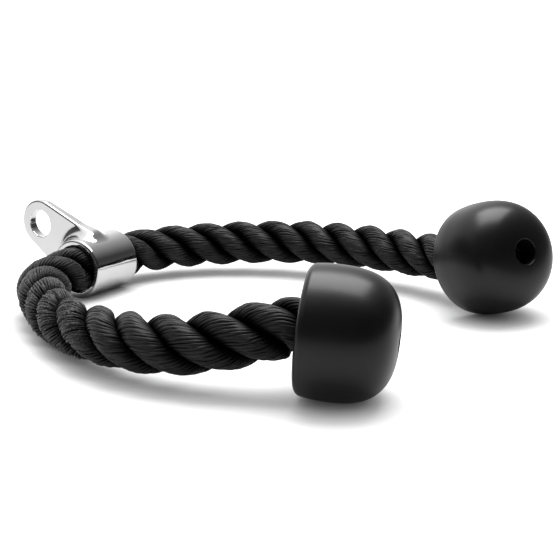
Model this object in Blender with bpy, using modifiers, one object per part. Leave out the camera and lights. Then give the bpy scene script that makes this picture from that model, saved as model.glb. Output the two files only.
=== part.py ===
"""Triceps rope attachment: a thick black rope with a rubber end ball on each end.

A chromed collar with a forged eye lug is threaded on the middle of the rope, where a cable
machine's hook takes hold. The rope lies bent round on the floor, as it is stored.
Metres, +Z up, X to the right and Y away from the viewer. Z = 0 is the floor.
"""

import math

import bmesh
import bpy
from mathutils import Matrix, Vector

# Rope
ROPE_DIAMETER = 0.028
ROPE_STEP = 0.0095
ROPE_SIDES_RESOLUTION = 4

# End balls
BALL_DIAMETER = 0.066
BALL_LENGTH = 0.047
BALL_FACE_DIAMETER = 0.0645
BALL_EDGE_RADIUS = 0.004
BALL_WIDEST_FROM_FACE = 0.0135
BALL_DOME_POWER = 2.85
BALL_LIP_LENGTH = 0.006
BALL_WEB_THICKNESS = 0.0045
BALL_HOLE_DIAMETER = 0.0146
BALL_HOLE_LIP = 0.0008
ROPE_IN_BALL = 0.028

# Rope ends, inside the balls
WHIPPING_THICKNESS = 0.0016
WHIPPING_LENGTH = 0.015
WHIPPING_TURNS = 4
SCREW_SHANK_DIAMETER = 0.0045
SCREW_SHANK_IN_ROPE = 0.020
SCREW_POINT_LENGTH = 0.005
SCREW_HEAD_DIAMETER = 0.0096
SCREW_HEAD_HEIGHT = 0.0036
SCREW_RECESS_DIAMETER = 0.0045
SCREW_RECESS_DEPTH = 0.0020
WASHER_DIAMETER = 0.0136
WASHER_THICKNESS = 0.0014

# Collar
COLLAR_DIAMETER = 0.0366
COLLAR_WALL = 0.0037
COLLAR_LENGTH = 0.038
COLLAR_OUTER_RIM_RADIUS = 0.0017
COLLAR_INNER_RIM_RADIUS = 0.0007

# Eye lug
EYE_REACH = 0.0450
EYE_HOLE_DIAMETER = 0.0184
EYE_TIP_RADIUS = 0.0147
EYE_SETBACK = 0.0113
EYE_TIP_THICKNESS = 0.0052
EYE_FOOT_THICKNESS = 0.0080
EYE_FOOT_HALF_WIDTH = 0.0195
EYE_FOOT_ABOVE_AXIS = 0.0070
EYE_FILLET_HEIGHT = 0.0070
EYE_FRONT_FILLET_LENGTH = 0.0080
EYE_BACK_FILLET_LENGTH = 0.0090
EYE_TOE_THICKNESS = 0.0009
EYE_FILLET_BITE = 0.0004
EYE_EDGE_BEVEL = 0.0004

# Fits
SEAT_GAP = 0.0003
SCREW_CLEARANCE = 0.0003
CUT_OVERRUN = 0.004

# Places, as the object lies
FRONT_FACE_X, FRONT_FACE_Y = 0.0134, -0.0943
FRONT_AZIMUTH, FRONT_TILT = math.radians(-9.45), math.radians(-5.4)
BACK_FACE_X, BACK_FACE_Y = 0.1187, 0.0646
BACK_AZIMUTH, BACK_TILT = math.radians(-59.3), math.radians(17.6)
COLLAR_X, COLLAR_Y = -0.1125, 0.1034
COLLAR_AZIMUTH = math.radians(56.6)
EYE_ANGLE = math.radians(29.8)
STRAIGHT_AT_BALL = 0.007
STRAIGHT_AT_COLLAR = 0.010

# The free rope's route, chosen by hand from one end ball to the other
FRONT_ROUTE = [
    (-0.0127, -0.0914, 0.0305),
    (-0.0387, -0.0868, 0.0246),
    (-0.0634, -0.0765, 0.0218),
    (-0.0843, -0.0603, 0.0201),
    (-0.1009, -0.0395, 0.0175),
    (-0.1145, -0.0164, 0.0150),
    (-0.1255, 0.0082, 0.0151),
    (-0.1346, 0.0338, 0.0167),
    (-0.1371, 0.0510, 0.0176),
]
BACK_ROUTE = [
    (-0.0837, 0.1392, 0.0184),
    (-0.0507, 0.1517, 0.0190),
    (-0.0132, 0.1527, 0.0205),
    (0.0203, 0.1457, 0.0220),
    (0.0623, 0.1237, 0.0235),
    (0.0943, 0.0977, 0.0245),
]

# Facets
BALL_SIDES = 40
ROUND_SIDES = 36
SMALL_SIDES = 24
ARC_STEPS = 6

UP = Vector((0, 0, 1))
PART_NAME = "triceps_rope"
CUTTERS = "cutters"
MERGE = 0.00002
WELD = 0.00005


# Scene and materials
def clear_scene():
    for obj in list(bpy.data.objects):
        bpy.data.objects.remove(obj)


def collection(name):
    found = bpy.data.collections.get(name) or bpy.data.collections.new(name)
    if found.name not in bpy.context.scene.collection.children:
        bpy.context.scene.collection.children.link(found)
    return found


def material(name, color, roughness, metallic=0.0):
    mat = bpy.data.materials.new(name)
    mat.use_nodes = True
    shader = mat.node_tree.nodes["Principled BSDF"]
    shader.inputs["Base Color"].default_value = (*color, 1)
    shader.inputs["Roughness"].default_value = roughness
    shader.inputs["Metallic"].default_value = metallic
    mat.diffuse_color = (*color, 1)
    return mat


def add_object(name, data, mat, target=PART_NAME):
    obj = bpy.data.objects.new(name, data)
    collection(target).objects.link(obj)
    if mat is not None:
        data.materials.append(mat)
    if target == CUTTERS:
        obj.hide_render = True
        obj.display_type = "WIRE"
    return obj


def boolean(obj, cutter, operation="DIFFERENCE"):
    mod = obj.modifiers.new(cutter.name, "BOOLEAN")
    mod.object = cutter
    mod.operation = operation
    mod.solver = "EXACT"


# Shapes
def arc(center, radii, start, end, steps=ARC_STEPS):
    """Points of an elliptical arc, from one angle to another, both ends included."""
    angles = [start + (end - start) * i / steps for i in range(steps + 1)]
    return [
        (center[0] + radii[0] * math.cos(a), center[1] + radii[1] * math.sin(a))
        for a in angles
    ]


def turned(name, profile, mat, sides, closed=True, target=PART_NAME):
    """A solid turned about local Z from (radius, height) points, down its outer side first."""
    mesh = bpy.data.meshes.new(name)
    count = len(profile)
    edges = [(i, i + 1) for i in range(count - 1)]
    if closed:
        edges.append((count - 1, 0))
    mesh.from_pydata([(r, 0, z) for r, z in profile], edges, [])
    obj = add_object(name, mesh, mat, target)
    screw = obj.modifiers.new("turn", "SCREW")
    screw.axis = "Z"
    screw.steps = sides
    screw.render_steps = sides
    screw.use_smooth_shade = True
    screw.use_merge_vertices = True
    screw.merge_threshold = MERGE
    screw.use_normal_calculate = False
    return obj


def round_cutter(name, radius, low, high, sides, reach=0):
    """A round cutter along local Z between two heights, its axis a distance out along X."""
    work = bmesh.new()
    bmesh.ops.create_cone(
        work,
        cap_ends=True,
        segments=sides,
        radius1=radius,
        radius2=radius,
        depth=high - low,
        matrix=Matrix.Translation((reach, 0, (low + high) / 2)),
    )
    mesh = bpy.data.meshes.new(name)
    work.to_mesh(mesh)
    work.free()
    return add_object(name, mesh, None, CUTTERS)


def plate_curve(name, outline, thickness):
    """A flat outline in local XY, extruded evenly to both sides of Z = 0."""
    curve = bpy.data.curves.new(name, "CURVE")
    curve.dimensions = "2D"
    curve.fill_mode = "BOTH"
    curve.extrude = thickness / 2
    spline = curve.splines.new("POLY")
    spline.points.add(len(outline) - 1)
    for point, (x, y) in zip(spline.points, outline):
        point.co = (x, y, 0, 1)
    spline.use_cyclic_u = True
    return curve


def mesh_from_curve(name, curve, mat, target=PART_NAME):
    """The curve's solid as a mesh with its caps welded on; the curve itself is removed."""
    guide = bpy.data.objects.new(name + "_curve", curve)
    collection(CUTTERS).objects.link(guide)
    bpy.context.view_layer.update()
    evaluated = guide.evaluated_get(bpy.context.evaluated_depsgraph_get())
    mesh = bpy.data.meshes.new_from_object(evaluated)
    mesh.name = name
    bpy.data.objects.remove(guide)
    bpy.data.curves.remove(curve)
    mesh.materials.clear()
    work = bmesh.new()
    work.from_mesh(mesh)
    bmesh.ops.remove_doubles(work, verts=work.verts, dist=MERGE)
    bmesh.ops.recalc_face_normals(work, faces=work.faces)
    work.to_mesh(mesh)
    work.free()
    return add_object(name, mesh, mat, target)


def axis_frame(origin, along, side):
    """A matrix whose local Z runs along one direction and whose local X leans to a side."""
    z = along.normalized()
    x = (side - z * side.dot(z)).normalized()
    y = z.cross(x)
    turn = Matrix((x, y, z)).transposed().to_4x4()
    return Matrix.Translation(origin) @ turn


def direction(azimuth, tilt=0.0):
    level = math.cos(tilt)
    return Vector((math.cos(azimuth) * level, math.sin(azimuth) * level, math.sin(tilt)))


# End balls
def ball_outer_profile():
    """(radius, height) points from the dome's hole down to the flat face; the face is Z = 0."""
    radius = BALL_DIAMETER / 2
    face = BALL_FACE_DIAMETER / 2
    dome = BALL_LENGTH - BALL_WIDEST_FROM_FACE
    hole = BALL_HOLE_DIAMETER / 2 + BALL_HOLE_LIP
    points = []
    start = math.asin((hole / radius) ** (BALL_DOME_POWER / 2))
    steps = 2 * ARC_STEPS
    for i in range(steps + 1):
        a = start + (math.pi / 2 - start) * i / steps
        r = radius * math.sin(a) ** (2 / BALL_DOME_POWER)
        z = BALL_WIDEST_FROM_FACE + dome * math.cos(a) ** (2 / BALL_DOME_POWER)
        points.append((r, z))
    middle = (BALL_WIDEST_FROM_FACE + BALL_EDGE_RADIUS) / 2
    points.append(((radius * 3 + face) / 4, middle))
    corner = (face - BALL_EDGE_RADIUS, BALL_EDGE_RADIUS)
    radii = (BALL_EDGE_RADIUS, BALL_EDGE_RADIUS)
    points += arc(corner, radii, 0, -math.pi / 2, ARC_STEPS // 2)
    return points


def ball_profile():
    """The whole section: outside, flat face, stepped rope bore, web and the hole in the dome."""
    mouth = ROPE_DIAMETER / 2 + SEAT_GAP
    bore = mouth + WHIPPING_THICKNESS + 2 * SEAT_GAP
    floor = ROPE_IN_BALL + SEAT_GAP
    screw = SCREW_SHANK_DIAMETER / 2 + SCREW_CLEARANCE
    seat = floor + BALL_WEB_THICKNESS
    hole = BALL_HOLE_DIAMETER / 2
    outer = ball_outer_profile()
    top = outer[0][1]
    inner = [
        (mouth, 0),
        (mouth, BALL_LIP_LENGTH),
        (bore, BALL_LIP_LENGTH),
        (bore, floor),
        (screw, floor),
        (screw, seat),
        (hole, seat),
        (hole, top - BALL_HOLE_LIP),
    ]
    return outer + inner


def resting_height(tilt):
    """How high the flat face's centre is when the tilted ball touches the floor."""
    return max(r * math.cos(tilt) - z * math.sin(tilt) for r, z in ball_outer_profile())


def ball_frame(x, y, azimuth, tilt):
    """The ball's own frame: origin at its flat face's centre, Z along its axis to the dome."""
    origin = Vector((x, y, resting_height(tilt)))
    return axis_frame(origin, direction(azimuth, tilt), UP)


def whipping_profile():
    """A wound band round the rope's end, seated behind the ball's lip."""
    inner = ROPE_DIAMETER / 2 + 2 * SEAT_GAP
    turn = WHIPPING_LENGTH / WHIPPING_TURNS
    bump = WHIPPING_THICKNESS / 3
    core = inner + WHIPPING_THICKNESS - bump
    top = BALL_LIP_LENGTH + SEAT_GAP + WHIPPING_LENGTH
    points = [(inner, top)]
    for i in range(WHIPPING_TURNS):
        high = top - i * turn
        points += [(core, high), (core + bump, high - turn / 2)]
    points += [(core, top - WHIPPING_LENGTH), (inner, top - WHIPPING_LENGTH)]
    return points


def washer_profile(seat):
    outer = WASHER_DIAMETER / 2
    inner = SCREW_SHANK_DIAMETER / 2 + SCREW_CLEARANCE
    edge = WASHER_THICKNESS / 4
    low = seat + SEAT_GAP
    top = low + WASHER_THICKNESS
    return [
        (inner, top),
        (outer - edge, top),
        (outer, top - edge),
        (outer, low),
        (inner, low),
    ]


def screw_profile(seat):
    """Pan head with a round driving recess, plain shank and point; the point bites the rope."""
    head = SCREW_HEAD_DIAMETER / 2
    shank = SCREW_SHANK_DIAMETER / 2
    recess = SCREW_RECESS_DIAMETER / 2
    low = seat + 2 * SEAT_GAP + WASHER_THICKNESS
    top = low + SCREW_HEAD_HEIGHT
    crown = SCREW_HEAD_HEIGHT / 2
    point = ROPE_IN_BALL - SCREW_SHANK_IN_ROPE
    dome = arc((recess, top - crown), (head - recess, crown), math.pi / 2, 0, ARC_STEPS // 2)
    return [
        (0, top - SCREW_RECESS_DEPTH),
        (recess, top - SCREW_RECESS_DEPTH),
        *dome,
        (head, low),
        (shank, low),
        (shank, point + SCREW_POINT_LENGTH),
        (0, point),
    ]


def build_end(side, frame, rubber, steel, twine):
    seat = ROPE_IN_BALL + SEAT_GAP + BALL_WEB_THICKNESS
    holder = bpy.data.objects.new(side + "_end", None)
    collection(PART_NAME).objects.link(holder)
    holder.matrix_world = frame
    pieces = [
        turned(side + "_end_ball", ball_profile(), rubber, BALL_SIDES),
        turned(side + "_whipping", whipping_profile(), twine, SMALL_SIDES),
        turned(side + "_washer", washer_profile(seat), steel, SMALL_SIDES),
        turned(side + "_end_screw", screw_profile(seat), steel, SMALL_SIDES, closed=False),
    ]
    for piece in pieces:
        piece.parent = holder


# Rope
def rope_route(front, back, collar):
    """Every point the rope's middle goes through, straight inside the balls and the collar."""
    into = Vector((0, 0, ROPE_IN_BALL))
    past = Vector((0, 0, ROPE_IN_BALL + STRAIGHT_AT_BALL))
    out = Vector((0, 0, -STRAIGHT_AT_BALL))
    half = Vector((0, 0, COLLAR_LENGTH / 2))
    clear = Vector((0, 0, COLLAR_LENGTH / 2 + STRAIGHT_AT_COLLAR))
    face = Vector()
    points = [front @ past, front @ into, front @ face, front @ out]
    points += [Vector(p) for p in FRONT_ROUTE]
    points += [collar @ -clear, collar @ -half, collar @ half, collar @ clear]
    points += [Vector(p) for p in BACK_ROUTE]
    points += [back @ out, back @ face, back @ into, back @ past]
    return points


def smooth_line(points, step):
    """A centripetal Catmull-Rom curve through all the points but the first and the last."""
    fine = []
    for p0, p1, p2, p3 in zip(points, points[1:], points[2:], points[3:]):
        a, b, c = (math.sqrt((q - p).length) for p, q in ((p0, p1), (p1, p2), (p2, p3)))
        m1 = (p1 - p0) * (b / a) - (p2 - p0) * (b / (a + b)) + (p2 - p1)
        m2 = (p2 - p1) - (p3 - p1) * (b / (b + c)) + (p3 - p2) * (b / c)
        count = max(1, round((p2 - p1).length / step))
        for i in range(count):
            u = i / count
            fine.append(
                p1 * (2 * u**3 - 3 * u**2 + 1)
                + m1 * (u**3 - 2 * u**2 + u)
                + p2 * (3 * u**2 - 2 * u**3)
                + m2 * (u**3 - u**2)
            )
    fine.append(points[-2])
    return fine


def build_rope(front, back, collar, fibre):
    line = smooth_line(rope_route(front, back, collar), ROPE_STEP)
    length = sum((q - p).length for p, q in zip(line, line[1:]))
    print("rope length", round(length, 4), "points", len(line))
    curve = bpy.data.curves.new("rope", "CURVE")
    curve.dimensions = "3D"
    curve.bevel_depth = ROPE_DIAMETER / 2
    curve.bevel_resolution = ROPE_SIDES_RESOLUTION
    curve.use_fill_caps = True
    spline = curve.splines.new("POLY")
    spline.points.add(len(line) - 1)
    for spot, place in zip(spline.points, line):
        spot.co = (*place, 1)
    rope = mesh_from_curve("rope", curve, fibre)
    for face in rope.data.polygons:
        face.use_smooth = len(face.vertices) == 4
    radius = SCREW_SHANK_DIAMETER / 2 + SCREW_CLEARANCE
    low = ROPE_IN_BALL - SCREW_SHANK_IN_ROPE - SEAT_GAP
    for side, frame in (("front", front), ("back", back)):
        pilot = round_cutter(side + "_pilot", radius, low, ROPE_IN_BALL + CUT_OVERRUN, SMALL_SIDES)
        pilot.matrix_world = frame
        boolean(rope, pilot)


# Collar and eye lug
def collar_profile():
    """A tube with rounded rims, lying evenly to both sides of Z = 0."""
    outer = COLLAR_DIAMETER / 2
    inner = outer - COLLAR_WALL
    top = COLLAR_LENGTH / 2
    big, small = COLLAR_OUTER_RIM_RADIUS, COLLAR_INNER_RIM_RADIUS
    half = math.pi / 2
    few = ARC_STEPS // 2
    return [
        *arc((outer - big, top - big), (big, big), half, 0, few),
        *arc((outer - big, big - top), (big, big), 0, -half, few),
        *arc((inner + small, small - top), (small, small), -half, -2 * half, few),
        *arc((inner + small, top - small), (small, small), 2 * half, half, few),
    ]


def lug_outline():
    """The lug seen along the collar: a round tip, and straight sides that widen to the foot."""
    lean = math.asin((EYE_FOOT_HALF_WIDTH - EYE_TIP_RADIUS) / EYE_REACH)
    turn = math.pi / 2 - lean
    tip = arc((EYE_REACH, 0), (EYE_TIP_RADIUS, EYE_TIP_RADIUS), -turn, turn, 4 * ARC_STEPS)
    foot = EYE_FOOT_ABOVE_AXIS
    half = (EYE_FOOT_HALF_WIDTH - foot * math.sin(lean)) / math.cos(lean)
    return tip + [(foot, half), (foot, -half)]


def lug_taper():
    """The lug seen across the collar: (distance from the axis, place along the collar)."""
    front = EYE_SETBACK - COLLAR_LENGTH / 2
    tip = EYE_REACH + EYE_TIP_RADIUS
    foot = COLLAR_DIAMETER / 2 + EYE_FILLET_HEIGHT
    slope = (EYE_FOOT_THICKNESS - EYE_TIP_THICKNESS) / (tip - foot)
    root = CUT_OVERRUN
    end = tip + CUT_OVERRUN
    return [
        (root, front),
        (end, front),
        (end, front + EYE_TIP_THICKNESS - slope * CUT_OVERRUN),
        (foot, front + EYE_FOOT_THICKNESS),
        (root, front + EYE_FOOT_THICKNESS),
    ]


def lug_fillet_profile():
    """A ring round the collar that sweeps up to the lug's two faces, back end first."""
    front = EYE_SETBACK - COLLAR_LENGTH / 2
    back = front + EYE_FOOT_THICKNESS
    saddle = COLLAR_DIAMETER / 2 + SEAT_GAP
    high = COLLAR_DIAMETER / 2 + EYE_FILLET_HEIGHT
    rise = high - saddle - EYE_TOE_THICKNESS
    half = math.pi / 2
    bite = EYE_FILLET_BITE
    back_end = back + EYE_BACK_FILLET_LENGTH
    front_end = front - EYE_FRONT_FILLET_LENGTH
    return [
        *arc((high, back_end), (rise, back_end - back + bite), 2 * half, 3 * half),
        *arc((high, front_end), (rise, front - front_end + bite), half, 2 * half),
        (saddle - CUT_OVERRUN, front_end),
        (saddle - CUT_OVERRUN, back_end),
    ]


def build_lug(holder, chrome):
    outline = plate_curve("eye_lug", lug_outline(), COLLAR_LENGTH)
    lug = mesh_from_curve("eye_lug", outline, chrome)
    across = 2 * (COLLAR_DIAMETER + EYE_FOOT_HALF_WIDTH)
    taper = plate_curve("lug_taper", lug_taper(), across)
    form = mesh_from_curve("lug_taper", taper, None, CUTTERS)
    form.data.transform(Matrix.Rotation(math.pi / 2, 4, "X"))
    fillet = turned("lug_fillet", lug_fillet_profile(), None, ROUND_SIDES, True, CUTTERS)
    end = COLLAR_LENGTH / 2 + CUT_OVERRUN
    seat = COLLAR_DIAMETER / 2 + SEAT_GAP
    saddle = round_cutter("lug_saddle", seat, -end, end, ROUND_SIDES)
    hole = round_cutter("eye_hole", EYE_HOLE_DIAMETER / 2, -end, end, ROUND_SIDES, EYE_REACH)
    boolean(form, fillet, "UNION")
    boolean(lug, form, "INTERSECT")
    boolean(lug, saddle)
    boolean(lug, hole)
    weld = lug.modifiers.new("weld", "WELD")
    weld.merge_threshold = WELD
    bevel = lug.modifiers.new("edges", "BEVEL")
    bevel.width = EYE_EDGE_BEVEL
    bevel.segments = 2
    bevel.limit_method = "ANGLE"
    bevel.angle_limit = math.radians(50)
    for piece in (lug, form, fillet, saddle, hole):
        piece.parent = holder


def build_collar(frame, chrome):
    holder = bpy.data.objects.new("collar_axis", None)
    collection(PART_NAME).objects.link(holder)
    holder.matrix_world = frame
    tube = turned("collar_tube", collar_profile(), chrome, ROUND_SIDES)
    tube.parent = holder
    build_lug(holder, chrome)


def main():
    clear_scene()
    fibre = material("black rope fibre", (0.012, 0.012, 0.013), 0.75)
    rubber = material("black rubber", (0.012, 0.012, 0.013), 0.42)
    chrome = material("chrome plate", (0.85, 0.86, 0.87), 0.08, 1.0)
    steel = material("blackened steel", (0.10, 0.10, 0.105), 0.35, 1.0)
    twine = material("whipping twine", (0.03, 0.03, 0.032), 0.8)
    front = ball_frame(FRONT_FACE_X, FRONT_FACE_Y, FRONT_AZIMUTH, FRONT_TILT)
    back = ball_frame(BACK_FACE_X, BACK_FACE_Y, BACK_AZIMUTH, BACK_TILT)
    along = direction(COLLAR_AZIMUTH)
    level = UP.cross(along)
    raised = level * math.cos(EYE_ANGLE) + UP * math.sin(EYE_ANGLE)
    rest = Vector((COLLAR_X, COLLAR_Y, COLLAR_DIAMETER / 2))
    collar = axis_frame(rest, along, raised)
    build_rope(front, back, collar, fibre)
    build_end("front", front, rubber, steel, twine)
    build_end("back", back, rubber, steel, twine)
    build_collar(collar, chrome)


main()
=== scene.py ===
"""The triceps rope, dressed: laid strands with their yarns, moulded balls and a chromed collar.

Metres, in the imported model's frame. The route's points are those of the CAD model.
"""

import math

import bmesh
import bpy
import numpy as np
from mathutils import Matrix, Vector


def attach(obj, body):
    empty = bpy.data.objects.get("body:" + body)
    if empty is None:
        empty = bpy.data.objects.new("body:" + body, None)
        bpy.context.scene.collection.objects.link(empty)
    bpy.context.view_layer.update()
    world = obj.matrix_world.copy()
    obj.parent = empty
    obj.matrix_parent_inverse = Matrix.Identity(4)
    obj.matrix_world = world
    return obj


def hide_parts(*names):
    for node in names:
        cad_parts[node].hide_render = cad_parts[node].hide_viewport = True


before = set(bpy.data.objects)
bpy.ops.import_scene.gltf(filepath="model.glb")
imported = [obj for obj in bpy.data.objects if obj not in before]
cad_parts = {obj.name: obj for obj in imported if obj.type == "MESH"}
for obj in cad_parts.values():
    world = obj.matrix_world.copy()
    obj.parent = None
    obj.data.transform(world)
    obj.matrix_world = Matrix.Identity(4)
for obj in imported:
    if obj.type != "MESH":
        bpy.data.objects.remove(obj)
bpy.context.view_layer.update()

MM = 0.001
UP = Vector((0, 0, 1))

# Sizes and places of the CAD model. The eye's hole, the lug's foot and the rounding of the
# ball's hole are a little off its numbers, to meet the edges in the photo.
ROPE_DIAMETER = 28.0 * MM
ROPE_IN_BALL = 28.0 * MM
BALL_DIAMETER = 66.0 * MM
BALL_LENGTH = 47.0 * MM
BALL_FACE_DIAMETER = 64.5 * MM
BALL_EDGE_RADIUS = 4.0 * MM
BALL_WIDEST_FROM_FACE = 13.5 * MM
BALL_DOME_POWER = 2.85
BALL_LIP_LENGTH = 6.0 * MM
BALL_WEB_THICKNESS = 4.5 * MM
BALL_HOLE_DIAMETER = 14.6 * MM
BALL_HOLE_LIP = 0.5 * MM
BALL_MOUTH_BEVEL = 0.5 * MM
WHIPPING_THICKNESS = 1.6 * MM
SCREW_SHANK_DIAMETER = 4.5 * MM
SCREW_HEAD_DIAMETER = 9.6 * MM
SCREW_HEAD_HEIGHT = 3.6 * MM
SCREW_HEAD_EDGE = 0.2 * MM
SCREW_HEAD_FLAT = 0.35
SCREW_CROSS_WIDTH = 1.3 * MM
SCREW_CROSS_HEIGHT = 3.4 * MM
SCREW_CROSS_LENGTH = 1.15 * SCREW_HEAD_DIAMETER / 2
WASHER_THICKNESS = 1.4 * MM
COLLAR_DIAMETER = 36.6 * MM
COLLAR_WALL = 3.7 * MM
COLLAR_LENGTH = 38.0 * MM
COLLAR_OUTER_RIM_RADIUS = 1.7 * MM
COLLAR_INNER_RIM_RADIUS = 0.7 * MM
EYE_REACH = 45.0 * MM
EYE_HOLE_REACH = 44.6 * MM
EYE_HOLE_DIAMETER = 17.2 * MM
EYE_TIP_RADIUS = 14.7 * MM
EYE_SETBACK = 11.3 * MM
EYE_TIP_THICKNESS = 5.2 * MM
EYE_FOOT_THICKNESS = 7.2 * MM
EYE_FOOT_HALF_WIDTH = 20.1 * MM
EYE_FOOT_ABOVE_AXIS = 7.0 * MM
EYE_FILLET_HEIGHT = 7.0 * MM
FILLET_RADIUS = 8.5 * MM
EDGE_ROUND = 1.4 * MM
HOLE_ROUND = 0.4 * MM
FOOT_ROUND = 2.0 * MM
GAP = 0.3 * MM

FRONT_FACE = Vector((0.0134, -0.0943, 0.034668))
FRONT_AXIS = (math.radians(-9.45), math.radians(-5.4))
BACK_FACE = Vector((0.1187, 0.0646, 0.029625))
BACK_AXIS = (math.radians(-59.3), math.radians(17.6))
COLLAR_MIDDLE = Vector((-0.1125, 0.1034, 0.0183))
COLLAR_AZIMUTH = math.radians(56.6)
EYE_ANGLE = math.radians(29.8)
STRAIGHT_AT_BALL = 7.0 * MM
STRAIGHT_AT_COLLAR = 10.0 * MM
FRONT_ROUTE = [
    (-0.0127, -0.0914, 0.0305),
    (-0.0387, -0.0868, 0.0246),
    (-0.0634, -0.0765, 0.0218),
    (-0.0843, -0.0603, 0.0201),
    (-0.1009, -0.0395, 0.0175),
    (-0.1145, -0.0164, 0.0150),
    (-0.1255, 0.0082, 0.0151),
    (-0.1346, 0.0338, 0.0167),
    (-0.1371, 0.0510, 0.0176),
]
BACK_ROUTE = [
    (-0.0837, 0.1392, 0.0184),
    (-0.0507, 0.1517, 0.0190),
    (-0.0132, 0.1527, 0.0205),
    (0.0203, 0.1457, 0.0220),
    (0.0623, 0.1237, 0.0235),
    (0.0943, 0.0977, 0.0245),
]

# How finely the meshes are cut
BALL_SIDES = 160
BALL_DOME_STEPS = 44
BALL_SKIRT_STEPS = 8
BALL_EDGE_STEPS = 10
BALL_LIP_STEPS = 5
SCREW_SIDES = 48
SCREW_CROWN_STEPS = 8
SHARP_ANGLE = math.radians(38)
COLLAR_STEP = 0.4 * MM
COLLAR_NET_MARGIN = 1.0 * MM
COLLAR_NET_SIDE_MARGIN = 1.5 * MM
NET_PROBE = 0.02
NET_ROUNDS = 4
NET_LEAST_STEEPNESS = 0.2
ROUTE_STEP = 0.5 * MM
CORD_PATH_STEP = 9 * MM

# The rope's lay
STRANDS = 3
LAY_PITCH = 67.0 * MM
LAY_START_TURNS = 0.3636
# how many turns the lay has opened by, at each distance from the front end
LAY_OPENED = [
    (0, 0.01), (100, 0.022), (142, 0.03), (150, 0.06), (158, 0.105), (171, 0.17), (181, 0.235),
    (188, 0.27), (197, 0.30), (215, 0.335), (250, 0.355), (320, 0.362), (500, 0.365), (570, 0.39),
]
LAY_SMOOTHED_OVER = 17
STRAND_RADIUS = 6.55 * MM
HELIX_RADIUS = 7.45 * MM
YARNS = 20
YARN_DEPTH = 0.55 * MM
YARN_SHAPE = [(0.0, 0.0), (0.11, 0.52), (0.30, 0.93), (0.50, 1.0), (0.70, 0.93), (0.89, 0.52)]
YARN_LEAN = 0.92
RING_STEP = 0.9 * MM
# how far each strand may reach towards the next one, of its full third
STRAND_SECTOR = 0.995
# each yarn wanders from its place by waves of (knot spacing, reach): sideways in yarns,
# outwards in metres, and in how deep the groove beside it is
YARN_SHIFTS = [(9 * MM, 0.24), (3 * MM, 0.08)]
YARN_LIFTS = [(7 * MM, 0.22 * MM), (2.5 * MM, 0.10 * MM)]
YARN_GROOVES = [(5.5 * MM, 1.3)]
GROOVE_MEAN = 0.9
GROOVE_LEAST = 0.15
# painted shade that each yarn groove adds, by its depth
GROOVE_PAINTED_SHADE = 0.22
YARN_SEED = 7
# V of the lay map, for each mm along the rope
LAY_MAP_RATE = 1.8
# how much rougher the yarns lie in the tight bend, at each distance from the front end
RUFFLED = [(130, 1.0), (160, 2.5), (220, 2.5), (240, 1.0)]
# how much thicker the rope is than its plain tube, at each distance from the front end
SWELL = [(0, 1.0), (29, 1.0), (37, 1.085), (110, 1.08), (150, 1.055), (230, 1.0)]
# by how many mm the strands press into each other, at each distance from the front end
PRESSED = [(70, 0.0), (110, 0.55), (190, 0.55), (235, 0.0)]
# where stray fibre ends in the bend get painted glints, in thousands of V
BEND_GLINT_SPAN = [(0.22, 0.0), (0.28, 1.0), (0.42, 1.0), (0.48, 0.0)]

# Camera and light, as fitted to the photo
CAMERA_LENS = 84.93
CAMERA_PLACE = (0.0027, -0.6998, 0.2158)
CAMERA_PITCH = math.radians(90 - 14.55)
LAMP_PLACE = Vector((0.11, 0.30, 1.10))
LAMP_TARGET = Vector((0.05, 0.0, 0.0))
LAMP_SIZE = (0.98, 0.86)
LAMP_POWER = 16.0
# the room's light from left to right, from the camera's side to the back, and upwards
SKY_ACROSS = [
    (0.0, 0.10), (0.05, 0.14), (0.10, 1.35), (0.475, 1.7),
    (0.60, 1.05), (0.725, 0.62), (0.845, 0.36), (0.95, 0.08),
]
SKY_DEEP = [(0.05, 0.05), (0.25, 0.10), (0.45, 0.70), (0.55, 1.0)]
SKY_HIGH = [(0.0, 0.85), (0.25, 0.62), (0.65, 0.62), (1.0, 0.80)]
# the floor's own colour and its distant glow, by half the distance in metres from this place
FLOOR_MIDDLE = (-0.12, 0.20, 0.0)
FLOOR_REACH = 6.0
FLOOR_COLOUR = [(0.18, 0.58), (0.28, 0.36), (0.42, 0.14)]
FLOOR_FAR = [(0.15, 0.0), (0.60, 1.0)]
FLOOR_FAR_GLOW = 0.5
FLOOR_MIRRORED_GLOW = 0.16
FLOOR_SHADE_REACH = 0.08
FLOOR_SHADE_POWER = 1.5


def direction(azimuth, tilt=0.0):
    level = math.cos(tilt)
    return Vector((math.cos(azimuth) * level, math.sin(azimuth) * level, math.sin(tilt)))


def axis_frame(origin, along, side):
    z = along.normalized()
    x = (side - z * side.dot(z)).normalized()
    y = z.cross(x)
    return Matrix.Translation(origin) @ Matrix((x, y, z)).transposed().to_4x4()


FRONT = axis_frame(FRONT_FACE, direction(*FRONT_AXIS), UP)
BACK = axis_frame(BACK_FACE, direction(*BACK_AXIS), UP)
ALONG = direction(COLLAR_AZIMUTH)
RAISED = UP.cross(ALONG) * math.cos(EYE_ANGLE) + UP * math.sin(EYE_ANGLE)
COLLAR = axis_frame(COLLAR_MIDDLE, ALONG, RAISED)


# Camera
def build_camera():
    data = bpy.data.cameras.new("camera")
    data.sensor_width = 36.0
    data.lens = CAMERA_LENS
    data.clip_start = 0.02
    data.clip_end = 60.0
    camera = bpy.data.objects.new("camera", data)
    camera.location = CAMERA_PLACE
    camera.rotation_euler = (CAMERA_PITCH, 0, 0)
    bpy.context.scene.collection.objects.link(camera)
    bpy.context.scene.camera = camera


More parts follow.
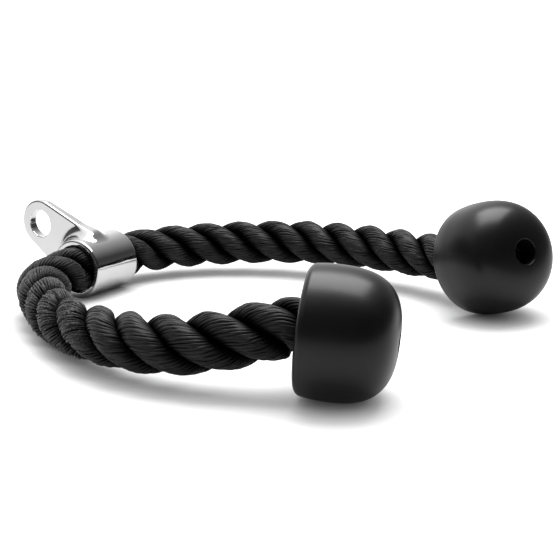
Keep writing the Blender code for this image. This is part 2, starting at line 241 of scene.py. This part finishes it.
# Node helpers
class Nodes:
    """A small helper that adds nodes to a tree and links them."""

    def __init__(self, tree):
        self.tree = tree
        tree.nodes.clear()

    def add(self, kind, **values):
        node = self.tree.nodes.new(kind)
        for key, value in values.items():
            setattr(node, key, value)
        return node

    def set(self, node, **values):
        for key, value in values.items():
            node.inputs[key.replace("_", " ")].default_value = value

    def link(self, a, b):
        self.tree.links.new(a, b)

    def math(self, operation, a, b):
        node = self.add("ShaderNodeMath", operation=operation)
        for i, value in enumerate((a, b)):
            if isinstance(value, (int, float)):
                node.inputs[i].default_value = value
            else:
                self.link(value, node.inputs[i])
        return node.outputs[0]

    def ramp(self, fac, stops):
        node = self.add("ShaderNodeValToRGB")
        elements = node.color_ramp.elements
        while len(elements) < len(stops):
            elements.new(0.5)
        for element, (place, colour) in zip(elements, stops):
            element.position = place
            if isinstance(colour, (int, float)):
                colour = (colour,) * 3
            element.color = (*colour, 1)
        self.link(fac, node.inputs["Fac"])
        return node.outputs["Color"]

    def noise(self, vector, scale, detail=3.0, roughness=0.5):
        node = self.add("ShaderNodeTexNoise")
        self.set(node, Scale=scale, Detail=detail, Roughness=roughness)
        self.link(vector, node.inputs["Vector"])
        return node.outputs["Fac"]

    def scaled(self, vector, scale):
        node = self.add("ShaderNodeMapping")
        self.link(vector, node.inputs["Vector"])
        self.set(node, Scale=scale)
        return node.outputs[0]

    def here(self):
        return self.add("ShaderNodeTexCoord").outputs["Object"]

    def bump(self, height, strength, distance, shader):
        node = self.add("ShaderNodeBump")
        self.set(node, Strength=strength, Distance=distance)
        self.link(height, node.inputs["Height"])
        self.link(node.outputs[0], shader.inputs["Normal"])

    def blend(self, kind, factor, a, b):
        node = self.add("ShaderNodeMix", data_type="RGBA", blend_type=kind)
        if isinstance(factor, float):
            self.set(node, Factor=factor)
        else:
            self.link(factor, node.inputs["Factor"])
        self.link(a, node.inputs["A"])
        self.link(b, node.inputs["B"])
        return node.outputs["Result"]


def new_material(name, slot_colour):
    mat = bpy.data.materials.new(name)
    mat.use_nodes = True
    mat.diffuse_color = (*slot_colour, 1)
    n = Nodes(mat.node_tree)
    out = n.add("ShaderNodeOutputMaterial")
    shader = n.add("ShaderNodeBsdfPrincipled")
    n.link(shader.outputs[0], out.inputs["Surface"])
    return mat, n, shader


def rope_material():
    """Black synthetic fibre, with painted glints on its fibres and painted shade in its valleys.
    U counts yarns across a strand, V runs along them.
    """
    mat, n, shader = new_material("rope_fibre", (0.02, 0.02, 0.02))
    lay = n.add("ShaderNodeUVMap", uv_map="lay").outputs[0]
    fine = n.noise(n.scaled(lay, (5.0, 0.22, 1.0)), 1.0, 3.0, 0.6)
    tone = n.noise(n.scaled(lay, (0.9, 0.055, 1.0)), 1.0, 2.0, 0.5)
    both = n.math("ADD", n.math("MULTIPLY", fine, 0.6), n.math("MULTIPLY", tone, 0.4))
    # a random dark tone, whose top stop paints glints on single fibres
    colour = n.ramp(both, [(0.30, 0.0015), (0.50, 0.006), (0.62, 0.016), (0.74, 0.10)])
    # painted shade: the valleys between strands and the yarn grooves get a darker colour, the
    # crests a little lighter colour
    raised = n.add("ShaderNodeAttribute", attribute_name="raised").outputs["Fac"]
    painted_shade_factor = n.ramp(raised, [(0.30, 0.03), (0.58, 0.26), (0.76, 0.76), (0.90, 1.15)])
    run = n.add("ShaderNodeSeparateXYZ")
    n.link(lay, run.inputs[0])
    # painted glints: light flecks for lit stray fibre ends in the bend
    bent = n.ramp(n.math("MULTIPLY", run.outputs["Y"], 0.001), BEND_GLINT_SPAN)
    ends = n.noise(n.scaled(lay, (3.2, 0.55, 1.0)), 1.0, 3.0, 0.65)
    fibre_end_glints = n.ramp(ends, [(0.48, 0.0), (0.58, 0.05), (0.70, 0.45)])
    colour_with_glints = n.blend("ADD", bent, colour, fibre_end_glints)
    n.link(n.blend("MULTIPLY", 1.0, colour_with_glints, painted_shade_factor), shader.inputs["Base Color"])
    rough = n.ramp(fine, [(0.3, 0.62), (0.7, 0.46)])
    n.link(rough, shader.inputs["Roughness"])
    # painted shade on the specular and sheen as well
    n.link(n.math("MULTIPLY", painted_shade_factor, 0.36), shader.inputs["Specular IOR Level"])
    n.link(n.math("MULTIPLY", painted_shade_factor, 0.30), shader.inputs["Sheen Weight"])
    n.set(shader, Sheen_Roughness=0.3)
    n.bump(fine, 0.75, 0.00022, shader)
    return mat


def rubber_material():
    mat, n, shader = new_material("ball_rubber", (0.02, 0.02, 0.02))
    colour, roughness = 0.0085, 0.30
    place = n.here()
    cloud = n.noise(place, 60.0)
    tint = n.ramp(cloud, [(0.3, colour * 0.93), (0.7, colour * 1.08)])
    n.link(tint, shader.inputs["Base Color"])
    rough = n.ramp(cloud, [(0.3, roughness - 0.02), (0.7, roughness + 0.03)])
    n.link(rough, shader.inputs["Roughness"])
    n.set(shader, Specular_IOR_Level=0.38)
    n.bump(n.noise(place, 2600.0, 2.0), 0.12, 0.00003, shader)
    return mat


def chrome_material():
    mat, n, shader = new_material("chrome_plate", (0.85, 0.86, 0.87))
    place = n.here()
    haze = n.noise(place, 90.0)
    rough = n.ramp(haze, [(0.35, 0.045), (0.75, 0.095)])
    n.link(rough, shader.inputs["Roughness"])
    tint = n.ramp(haze, [(0.3, (0.765, 0.765, 0.77)), (0.7, (0.805, 0.805, 0.805))])
    n.link(tint, shader.inputs["Base Color"])
    n.set(shader, Metallic=1.0)
    n.bump(n.noise(place, 260.0, 2.0), 0.03, 0.00005, shader)
    return mat


def steel_material():
    mat, n, shader = new_material("black_oxide_steel", (0.1, 0.1, 0.1))
    cloud = n.noise(n.here(), 900.0)
    tint = n.ramp(cloud, [(0.3, (0.05, 0.05, 0.055)), (0.7, (0.11, 0.11, 0.115))])
    n.link(tint, shader.inputs["Base Color"])
    rough = n.ramp(cloud, [(0.3, 0.26), (0.7, 0.42)])
    n.link(rough, shader.inputs["Roughness"])
    n.set(shader, Metallic=1.0)
    return mat


def twine_material():
    mat, n, shader = new_material("whipping_twine", (0.03, 0.03, 0.03))
    fibre = n.noise(n.here(), 1500.0, 4.0, 0.6)
    n.link(n.ramp(fibre, [(0.3, 0.012), (0.7, 0.05)]), shader.inputs["Base Color"])
    n.link(n.ramp(fibre, [(0.3, 0.65), (0.7, 0.85)]), shader.inputs["Roughness"])
    n.bump(fibre, 0.5, 0.0001, shader)
    return mat


# Rope
def rope_route():
    half = Vector((0, 0, COLLAR_LENGTH / 2))
    clear = Vector((0, 0, COLLAR_LENGTH / 2 + STRAIGHT_AT_COLLAR))
    out = Vector((0, 0, -STRAIGHT_AT_BALL))
    into = Vector((0, 0, ROPE_IN_BALL))
    past = Vector((0, 0, ROPE_IN_BALL + STRAIGHT_AT_BALL))
    points = [FRONT @ past, FRONT @ into, FRONT_FACE, FRONT @ out]
    points += [Vector(p) for p in FRONT_ROUTE]
    points += [COLLAR @ -clear, COLLAR @ -half, COLLAR @ half, COLLAR @ clear]
    points += [Vector(p) for p in BACK_ROUTE]
    points += [BACK @ out, BACK_FACE, BACK @ into, BACK @ past]
    return points


def smooth_line(points, step):
    """A centripetal Catmull-Rom curve through the points, evenly spaced."""
    fine = []
    for p0, p1, p2, p3 in zip(points, points[1:], points[2:], points[3:]):
        a, b, c = (math.sqrt((q - p).length) for p, q in ((p0, p1), (p1, p2), (p2, p3)))
        m1 = (p1 - p0) * (b / a) - (p2 - p0) * (b / (a + b)) + (p2 - p1)
        m2 = (p2 - p1) - (p3 - p1) * (b / (b + c)) + (p3 - p2) * (b / c)
        count = max(4, math.ceil((p2 - p1).length / ROUTE_STEP))
        for i in range(count):
            u = i / count
            fine.append(
                p1 * (2 * u**3 - 3 * u**2 + 1)
                + m1 * (u**3 - 2 * u**2 + u)
                + p2 * (3 * u**2 - 2 * u**3)
                + m2 * (u**3 - u**2)
            )
    fine.append(points[-2])
    line = np.array([tuple(p) for p in fine])
    run = np.concatenate([[0], np.cumsum(np.linalg.norm(np.diff(line, axis=0), axis=1))])
    at = np.linspace(0, run[-1], round(run[-1] / step) + 1)
    return np.stack([np.interp(at, run, line[:, k]) for k in range(3)], axis=1), at


def carried_frames(line):
    """The two sides at each point of a line, carried along without twist."""
    ahead = np.gradient(line, axis=0)
    ahead /= np.linalg.norm(ahead, axis=1)[:, None]
    side = Vector(ahead[0]).cross(UP).normalized()
    firsts = []
    for tangent in ahead:
        t = Vector(tangent)
        side = (side - t * side.dot(t)).normalized()
        firsts.append(tuple(side))
    firsts = np.array(firsts)
    return firsts, np.cross(ahead, firsts)


def along_rope(at, stops):
    """The value at each place, between stops of (mm from the front end, value)."""
    places, values = np.array(stops).T
    return np.interp(at / MM, places, values)


def lay_angle(at):
    grid = np.arange(-40, 760) * MM
    window = np.ones(LAY_SMOOTHED_OVER) / LAY_SMOOTHED_OVER
    opened = np.convolve(along_rope(grid, LAY_OPENED), window, mode="same")
    return 2 * math.pi * (LAY_START_TURNS + at / LAY_PITCH - np.interp(at, grid, opened))


def wander(rng, at, waves):
    """Slow random lines, one for each yarn of a strand, along the rope."""
    total = np.zeros((YARNS, len(at)))
    for knot, reach in waves:
        knots = max(4, math.ceil(at[-1] / knot) + 3)
        values = rng.uniform(-reach, reach, (YARNS, knots))
        where = at / knot
        i = np.floor(where).astype(int)
        f = where - i
        f = f * f * (3 - 2 * f)
        total += values[:, i] * (1 - f) + values[:, i + 1] * f
    return total


def strand_mesh(line, at, k, rng):
    """One strand's skin: grid lines follow the yarns, rings lie square to the rope."""
    side, up = carried_frames(line)
    rate = 2 * math.pi / LAY_PITCH
    lean = math.atan(rate * HELIX_RADIUS)
    outermost = HELIX_RADIUS + STRAND_RADIUS
    twist = YARN_LEAN * outermost * rate / (STRAND_RADIUS * math.cos(lean))
    run = STRAND_RADIUS * math.sin(lean)
    spots, heights = np.array(YARN_SHAPE).T
    per = len(spots)
    rings = len(at)
    ruffled = along_rope(at, RUFFLED)
    shift = wander(rng, at, YARN_SHIFTS)
    lift = wander(rng, at, YARN_LIFTS) * ruffled
    groove = np.clip(GROOVE_MEAN + wander(rng, at, YARN_GROOVES), GROOVE_LEAST, None)
    groove = np.repeat(groove * ruffled, per, axis=0) * (1 - np.tile(heights, YARNS))[:, None]
    # yarn coordinate and height of each grid line, ring by ring
    edge = np.arange(YARNS)[:, None] + shift
    following = np.roll(edge, -1, axis=0)
    following[-1] += YARNS
    width = following - edge
    yarn = (edge[:, None] + width[:, None] * spots[None, :, None]).reshape(YARNS * per, rings)
    raised = np.repeat(lift, per, axis=0) * np.tile(heights, YARNS)[:, None]
    turn = 2 * math.pi * yarn / YARNS
    # where each yarn line lies round the strand in this ring
    table = np.linspace(-4 * math.pi, 4 * math.pi, 8001)
    ramp = table + twist * run * np.sin(table)
    want = turn - twist * at[None, :]
    want = (want + math.pi) % (2 * math.pi) - math.pi
    phi = np.interp(want, ramp, table)
    pressed = along_rope(at, PRESSED) * MM
    radius = STRAND_RADIUS + pressed - YARN_DEPTH * groove + raised
    x = HELIX_RADIUS - pressed + radius * np.cos(phi)
    y = radius * np.sin(phi) * math.cos(lean)
    polar = np.arctan2(y, x) + rate * run * np.sin(phi)
    limit = math.pi / STRANDS * STRAND_SECTOR
    polar = np.clip(polar, -limit, limit)
    far = np.hypot(x, y)
    # painted shade: near 0 deep between the strands and lower in the yarn grooves, 1 on the
    # crests; the rope's material darkens by it
    core = 0.5 * outermost
    painted_shade_factor = np.clip((far - core) / core, 0, 1) - GROOVE_PAINTED_SHADE * groove
    far = far * along_rope(at, SWELL)[None, :]
    angle = lay_angle(at)[None, :] + 2 * math.pi * k / STRANDS + polar
    place = (
        line[None]
        + (far * np.cos(angle))[..., None] * side[None]
        + (far * np.sin(angle))[..., None] * up[None]
    )
    verts = place.transpose(1, 0, 2).reshape(-1, 3)
    m = YARNS * per
    i = np.arange(rings - 1)[:, None] * m
    j = np.arange(m)[None]
    nxt = (j + 1) % m
    faces = np.stack([i + j, i + nxt, i + m + nxt, i + m + j], axis=-1).reshape(-1, 4)
    # lay map: U in yarns, V along the rope
    u = yarn.T.reshape(-1)
    v = np.repeat(at / MM * LAY_MAP_RATE, m)
    uv = np.stack([u[faces], v[faces]], axis=-1)
    wrap = (faces[:, 1] % m) == 0
    uv[wrap, 1, 0] += YARNS
    uv[wrap, 2, 0] += YARNS
    uv[..., 0] += 31 * k
    caps = [list(range(m))[::-1], [(rings - 1) * m + q for q in range(m)]]
    return verts, faces, uv.reshape(-1, 2), caps, painted_shade_factor.T.reshape(-1)


def build_rope(material):
    line, at = smooth_line(rope_route(), RING_STEP)
    rng = np.random.default_rng(YARN_SEED)
    all_verts, all_faces, all_uv, all_caps, all_painted_shade = [], [], [], [], []
    base = 0
    for k in range(STRANDS):
        verts, faces, uv, caps, painted_shade_factor = strand_mesh(line, at, k, rng)
        all_painted_shade.append(painted_shade_factor)
        all_verts.append(verts)
        all_faces.append(faces + base)
        all_uv.append(uv)
        all_caps += [[q + base for q in cap] for cap in caps]
        base += len(verts)
    verts = np.concatenate(all_verts)
    faces = np.concatenate(all_faces)
    uv = np.concatenate(all_uv)
    mesh = bpy.data.meshes.new("rope_lay")
    mesh.from_pydata(verts.tolist(), [], faces.tolist() + all_caps)
    layer = mesh.uv_layers.new(name="lay")
    flat = np.zeros((len(mesh.loops), 2), dtype=np.float32)
    flat[: len(uv)] = uv
    layer.data.foreach_set("uv", flat.ravel())
    # the painted valley shade goes to the material as the attribute raised
    painted_shade_layer = mesh.attributes.new(name="raised", type="FLOAT", domain="POINT")
    painted_shade_layer.data.foreach_set("value", np.concatenate(all_painted_shade).astype(np.float32))
    smooth = np.ones(len(mesh.polygons), dtype=bool)
    smooth[-len(all_caps) :] = False
    mesh.polygons.foreach_set("use_smooth", smooth)
    mesh.materials.append(material)
    mesh.update()
    rope = bpy.data.objects.new("rope_lay", mesh)
    bpy.context.scene.collection.objects.link(rope)
    every = round(CORD_PATH_STEP / RING_STEP)
    path = [tuple(p) for p in line[::every]]
    if (len(path) - 1) * every < len(line) - 1:
        path.append(tuple(line[-1]))
    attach(rope, "rope")
    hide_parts("rope")


# Turned pieces
def arc(center, radii, start, end, steps):
    angles = [start + (end - start) * i / steps for i in range(steps + 1)]
    return [
        (center[0] + radii[0] * math.cos(a), center[1] + radii[1] * math.sin(a))
        for a in angles
    ]


def turned(name, profile, matrix, material, sides, closed=True):
    """A solid turned about the frame's Z axis from (radius, height) points."""
    rows = []
    verts = []
    for r, z in profile:
        if r < 1e-9:
            rows.append([len(verts)] * sides)
            verts.append((0, 0, z))
            continue
        rows.append(list(range(len(verts), len(verts) + sides)))
        for i in range(sides):
            a = 2 * math.pi * i / sides
            verts.append((r * math.cos(a), r * math.sin(a), z))
    faces = []
    pairs = list(zip(rows, rows[1:] + rows[:1])) if closed else list(zip(rows, rows[1:]))
    for low, high in pairs:
        for i in range(sides):
            j = (i + 1) % sides
            ring = [low[i], low[j], high[j], high[i]]
            face = [v for n, v in enumerate(ring) if v != ring[n - 1]]
            if len(set(face)) > 2:
                faces.append(face)
    mesh = bpy.data.meshes.new(name)
    mesh.from_pydata([matrix @ Vector(v) for v in verts], [], faces)
    work = bmesh.new()
    work.from_mesh(mesh)
    bmesh.ops.recalc_face_normals(work, faces=work.faces)
    work.to_mesh(mesh)
    work.free()
    mesh.materials.append(material)
    mesh.shade_smooth()
    mesh.set_sharp_from_angle(angle=SHARP_ANGLE)
    obj = bpy.data.objects.new(name, mesh)
    bpy.context.scene.collection.objects.link(obj)
    return obj


def ball_profile():
    radius = BALL_DIAMETER / 2
    face = BALL_FACE_DIAMETER / 2
    dome = BALL_LENGTH - BALL_WIDEST_FROM_FACE
    hole = BALL_HOLE_DIAMETER / 2
    rim = hole + BALL_HOLE_LIP
    start = math.asin((rim / radius) ** (BALL_DOME_POWER / 2))
    points = []
    for i in range(BALL_DOME_STEPS + 1):
        a = start + (math.pi / 2 - start) * i / BALL_DOME_STEPS
        r = radius * math.sin(a) ** (2 / BALL_DOME_POWER)
        z = BALL_WIDEST_FROM_FACE + dome * math.cos(a) ** (2 / BALL_DOME_POWER)
        points.append((r, z))
    low = BALL_EDGE_RADIUS
    for i in range(1, BALL_SKIRT_STEPS):
        t = i / BALL_SKIRT_STEPS
        z = BALL_WIDEST_FROM_FACE + (low - BALL_WIDEST_FROM_FACE) * t
        points.append((radius - (radius - face) * t * t, z))
    corner = (face - low, low)
    points += arc(corner, (low, low), 0, -math.pi / 2, BALL_EDGE_STEPS)
    mouth = ROPE_DIAMETER / 2 + GAP
    bore = mouth + WHIPPING_THICKNESS + 2 * GAP
    floor = ROPE_IN_BALL + GAP
    screw = SCREW_SHANK_DIAMETER / 2 + GAP
    seat = floor + BALL_WEB_THICKNESS
    top = points[0][1]
    inner = [
        (mouth + BALL_MOUTH_BEVEL, 0),
        (mouth, BALL_MOUTH_BEVEL),
        (mouth, BALL_LIP_LENGTH),
        (bore, BALL_LIP_LENGTH),
        (bore, floor),
        (screw, floor),
        (screw, seat),
        (hole, seat),
    ]
    lip = BALL_HOLE_LIP
    rounding = arc((hole + lip, top - lip), (lip, lip), math.pi, math.pi / 2, BALL_LIP_STEPS)
    return points + inner + rounding[:-1]


def build_ball(side, matrix, material):
    ball = turned(side + "_ball_moulding", ball_profile(), matrix, material, BALL_SIDES)
    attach(ball, "rope")
    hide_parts(side + "_end_ball")


def build_screw(side, matrix, material):
    """A pan head with a cross recess."""
    seat = ROPE_IN_BALL + GAP + BALL_WEB_THICKNESS
    low = seat + 2 * GAP + WASHER_THICKNESS
    head = SCREW_HEAD_DIAMETER / 2
    top = low + SCREW_HEAD_HEIGHT
    crown = SCREW_HEAD_HEIGHT / 2
    flat = head * SCREW_HEAD_FLAT
    profile = [(0, top)]
    profile += arc((flat, top - crown), (head - flat, crown), math.pi / 2, 0, SCREW_CROWN_STEPS)
    profile += [(head, low + SCREW_HEAD_EDGE), (head - SCREW_HEAD_EDGE, low), (0, low)]
    screw = turned(side + "_screw_head", profile, matrix, material, SCREW_SIDES, closed=False)
    cross = (SCREW_CROSS_LENGTH, SCREW_CROSS_WIDTH, SCREW_CROSS_HEIGHT)
    for turn in (0, math.pi / 2):
        work = bmesh.new()
        bmesh.ops.create_cube(work, size=1.0)
        bmesh.ops.scale(work, vec=cross, verts=work.verts)
        bmesh.ops.rotate(work, matrix=Matrix.Rotation(turn, 3, "Z"), verts=work.verts)
        bmesh.ops.translate(work, vec=(0, 0, top), verts=work.verts)
        bmesh.ops.transform(work, matrix=matrix, verts=work.verts)
        mesh = bpy.data.meshes.new("slot")
        work.to_mesh(mesh)
        work.free()
        cutter = bpy.data.objects.new("slot", mesh)
        bpy.context.scene.collection.objects.link(cutter)
        mod = screw.modifiers.new("slot", "BOOLEAN")
        mod.object = cutter
        mod.solver = "EXACT"
        apply_modifiers(screw)
        bpy.data.objects.remove(cutter)
    return screw


def apply_modifiers(obj):
    bpy.context.view_layer.update()
    evaluated = obj.evaluated_get(bpy.context.evaluated_depsgraph_get())
    mesh = bpy.data.meshes.new_from_object(evaluated)
    obj.modifiers.clear()
    obj.data = mesh


# Collar
def meet(a, b, radius):
    """The distance to what two solids share, with their common edge rounded."""
    over = np.hypot(np.maximum(a + radius, 0), np.maximum(b + radius, 0))
    return over + np.minimum(np.maximum(a, b) + radius, 0) - radius


def join(a, b, radius):
    """The distance to two solids together, with a round fillet between them."""
    near = np.hypot(np.maximum(radius - a, 0), np.maximum(radius - b, 0))
    return np.maximum(radius, np.minimum(a, b)) - near


def collar_distance(x, y, z):
    """How far points lie outside the collar. X runs up the lug, Z along the rope."""
    far = np.hypot(x, y)
    half = COLLAR_LENGTH / 2
    tube = meet(far - COLLAR_DIAMETER / 2, np.abs(z) - half, COLLAR_OUTER_RIM_RADIUS)
    lean = math.asin((EYE_FOOT_HALF_WIDTH - EYE_TIP_RADIUS) / EYE_REACH)
    flank = x * math.sin(lean) + np.abs(y) * math.cos(lean) - EYE_FOOT_HALF_WIDTH
    middle = np.hypot(x - EYE_REACH, y)
    past = (x - EYE_REACH) * math.cos(lean) - np.abs(y) * math.sin(lean) > 0
    outline = np.where(past, middle - EYE_TIP_RADIUS, flank)
    outline = meet(outline, EYE_FOOT_ABOVE_AXIS - x, FOOT_ROUND)
    front = EYE_SETBACK - half
    tip = EYE_REACH + EYE_TIP_RADIUS
    foot = COLLAR_DIAMETER / 2 + EYE_FILLET_HEIGHT
    slope = (EYE_FOOT_THICKNESS - EYE_TIP_THICKNESS) / (tip - foot)
    back = front + EYE_FOOT_THICKNESS - slope * np.clip(x - foot, 0, None)
    lug = meet(outline, np.maximum(front - z, z - back), EDGE_ROUND)
    lug = meet(lug, EYE_HOLE_DIAMETER / 2 - np.hypot(x - EYE_HOLE_REACH, y), HOLE_ROUND)
    whole = join(tube, lug, FILLET_RADIUS)
    return meet(whole, COLLAR_DIAMETER / 2 - COLLAR_WALL - far, COLLAR_INNER_RIM_RADIUS)


def surface_net(distance, low, high, step):
    """Quads on the surface where distance is zero, and the way each corner faces."""
    axes = [np.arange(a, b + step, step) for a, b in zip(low, high)]
    value = distance(*np.meshgrid(*axes, indexing="ij"))
    inside = value < 0
    size = np.array(value.shape) - 1
    total = np.zeros((*size, 3))
    count = np.zeros(size)
    cut = [slice(0, -1), slice(1, None)]
    for axis in range(3):
        others = [k for k in range(3) if k != axis]
        for i in (0, 1):
            for j in (0, 1):
                start, end = [None] * 3, [None] * 3
                start[axis], end[axis] = cut[0], cut[1]
                start[others[0]] = end[others[0]] = cut[i]
                start[others[1]] = end[others[1]] = cut[j]
                start, end = tuple(start), tuple(end)
                crossed = inside[start] != inside[end]
                gap = value[start] - value[end]
                part = np.where(crossed, value[start] / np.where(gap == 0, 1, gap), 0)
                total[..., axis] += part
                total[..., others[0]] += crossed * i
                total[..., others[1]] += crossed * j
                count += crossed
    cells = np.argwhere(count > 0)
    number = -np.ones(size, dtype=int)
    spot = tuple(cells.T)
    number[spot] = np.arange(len(cells))
    verts = (cells + total[spot] / count[spot][:, None]) * step + np.array(low)
    faces = []
    for axis in range(3):
        u, v = (axis + 1) % 3, (axis + 2) % 3
        first = np.moveaxis(inside, (axis, u, v), (0, 1, 2))
        cell = np.moveaxis(number, (axis, u, v), (0, 1, 2))
        a, b = first[:-1, 1:-1, 1:-1], first[1:, 1:-1, 1:-1]
        for rising in (True, False):
            i, j, k = np.nonzero(a & ~b if rising else ~a & b)
            ring = [cell[i, j, k], cell[i, j + 1, k], cell[i, j + 1, k + 1], cell[i, j, k + 1]]
            faces.append(np.stack(ring if rising else ring[::-1], axis=1))
    # small moves of each corner bring it onto the exact surface
    reach = NET_PROBE * step
    for _ in range(NET_ROUNDS):
        here = distance(*verts.T)
        rise = np.empty_like(verts)
        for axis in range(3):
            moved = verts.copy()
            moved[:, axis] += reach
            rise[:, axis] = (distance(*moved.T) - here) / reach
        steepness = np.maximum((rise**2).sum(axis=1), NET_LEAST_STEEPNESS)
        verts -= rise * (here / steepness)[:, None]
    rise /= np.maximum(np.linalg.norm(rise, axis=1), 1e-6)[:, None]
    return verts, np.concatenate(faces), rise


def build_collar(material):
    edge = COLLAR_DIAMETER / 2 + COLLAR_NET_MARGIN
    wide = EYE_FOOT_HALF_WIDTH + COLLAR_NET_SIDE_MARGIN
    tip = EYE_REACH + EYE_TIP_RADIUS + COLLAR_NET_MARGIN
    end = COLLAR_LENGTH / 2 + COLLAR_NET_MARGIN
    low, high = (-edge, -wide, -end), (tip, wide, end)
    verts, faces, facing = surface_net(collar_distance, low, high, COLLAR_STEP)
    mesh = bpy.data.meshes.new("collar_forging")
    mesh.from_pydata([COLLAR @ Vector(v) for v in verts], [], faces.tolist())
    mesh.materials.append(material)
    mesh.shade_smooth()
    turn = COLLAR.to_3x3()
    mesh.normals_split_custom_set_from_vertices([turn @ Vector(v) for v in facing])
    collar = bpy.data.objects.new("collar_forging", mesh)
    bpy.context.scene.collection.objects.link(collar)
    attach(collar, "collar")
    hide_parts("collar_tube", "eye_lug")


# Studio
def studio_sky(n):
    """The room's light by direction: a bright left and back, a dark right and camera side."""
    split = n.add("ShaderNodeSeparateXYZ")
    n.link(n.add("ShaderNodeTexCoord").outputs["Generated"], split.inputs[0])
    across = n.math("ADD", n.math("MULTIPLY", split.outputs["X"], 0.5), 0.5)
    behind = n.math("ADD", n.math("MULTIPLY", split.outputs["Y"], 0.5), 0.5)
    light = n.math("MULTIPLY", n.ramp(across, SKY_ACROSS), n.ramp(behind, SKY_DEEP))
    return n.math("MULTIPLY", light, n.ramp(split.outputs["Z"], SKY_HIGH))


def build_world():
    world = bpy.data.worlds.new("studio")
    bpy.context.scene.world = world
    world.use_nodes = True
    n = Nodes(world.node_tree)
    out = n.add("ShaderNodeOutputWorld")
    path = n.add("ShaderNodeLightPath")
    sky = n.add("ShaderNodeBackground")
    n.set(sky, Color=(1, 1, 1, 1))
    n.link(studio_sky(n), sky.inputs["Strength"])
    white = n.add("ShaderNodeBackground")
    n.set(white, Color=(1, 1, 1, 1), Strength=1.0)
    seen = n.add("ShaderNodeMixShader")
    n.link(path.outputs["Is Camera Ray"], seen.inputs[0])
    n.link(sky.outputs[0], seen.inputs[1])
    n.link(white.outputs[0], seen.inputs[2])
    n.link(seen.outputs[0], out.inputs["Surface"])


def floor_material():
    """White by its own glow, less where the part shades it, over a grey that takes light."""
    mat = bpy.data.materials.new("floor_white")
    mat.use_nodes = True
    n = Nodes(mat.node_tree)
    out = n.add("ShaderNodeOutputMaterial")
    away = n.add("ShaderNodeVectorMath", operation="DISTANCE")
    away.inputs[1].default_value = FLOOR_MIDDLE
    n.link(n.here(), away.inputs[0])
    away = n.math("MULTIPLY", away.outputs["Value"], 0.5)
    diffuse = n.add("ShaderNodeBsdfDiffuse")
    n.link(n.ramp(away, FLOOR_COLOUR), diffuse.inputs["Color"])
    rays = n.add("ShaderNodeLightPath")
    seen = rays.outputs["Is Camera Ray"]
    shiny = n.math("MAXIMUM", rays.outputs["Is Glossy Ray"], rays.outputs["Is Transmission Ray"])
    shade = n.add("ShaderNodeAmbientOcclusion", samples=8, only_local=False)
    n.set(shade, Distance=FLOOR_SHADE_REACH)
    clear = n.math("POWER", shade.outputs["AO"], FLOOR_SHADE_POWER)
    mirrored = n.math("MULTIPLY", shiny, FLOOR_MIRRORED_GLOW)
    near = n.math("MULTIPLY", clear, n.math("ADD", seen, mirrored))
    far = n.math("MULTIPLY", n.ramp(away, FLOOR_FAR), FLOOR_FAR_GLOW)
    far = n.math("MULTIPLY", far, n.math("MAXIMUM", shiny, seen))
    glow = n.add("ShaderNodeEmission")
    n.set(glow, Color=(1, 1, 1, 1))
    n.link(n.math("ADD", near, far), glow.inputs["Strength"])
    both = n.add("ShaderNodeAddShader")
    n.link(diffuse.outputs[0], both.inputs[0])
    n.link(glow.outputs[0], both.inputs[1])
    n.link(both.outputs[0], out.inputs["Surface"])
    return mat


def build_floor():
    mesh = bpy.data.meshes.new("floor")
    far = FLOOR_REACH
    corners = [(-far, -far, 0), (far, -far, 0), (far, far, 0), (-far, far, 0)]
    mesh.from_pydata(corners, [], [(0, 1, 2, 3)])
    mesh.materials.append(floor_material())
    floor = bpy.data.objects.new("floor", mesh)
    bpy.context.scene.collection.objects.link(floor)


def build_lamp():
    data = bpy.data.lights.new("top_softbox", "AREA")
    data.shape = "RECTANGLE"
    data.size, data.size_y = LAMP_SIZE
    data.energy = LAMP_POWER
    lamp = bpy.data.objects.new("top_softbox", data)
    lamp.location = LAMP_PLACE
    lamp.rotation_euler = (LAMP_TARGET - LAMP_PLACE).to_track_quat("-Z", "Y").to_euler()
    bpy.context.scene.collection.objects.link(lamp)


def main():
    build_camera()
    fibre = rope_material()
    rubber = rubber_material()
    chrome = chrome_material()
    steel = steel_material()
    twine = twine_material()
    build_rope(fibre)
    build_ball("front", FRONT, rubber)
    build_ball("back", BACK, rubber)
    for side, matrix in (("front", FRONT), ("back", BACK)):
        screw = build_screw(side, matrix, steel)
        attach(screw, "rope")
        for node, mat in (("_whipping", twine), ("_washer", steel), ("_end_screw", steel)):
            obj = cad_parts[side + node]
            obj.data.materials.clear()
            obj.data.materials.append(mat)
        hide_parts(side + "_end_screw")
    build_collar(chrome)
    build_world()
    build_floor()
    build_lamp()
    bpy.context.scene.view_settings.view_transform = "Standard"


main()
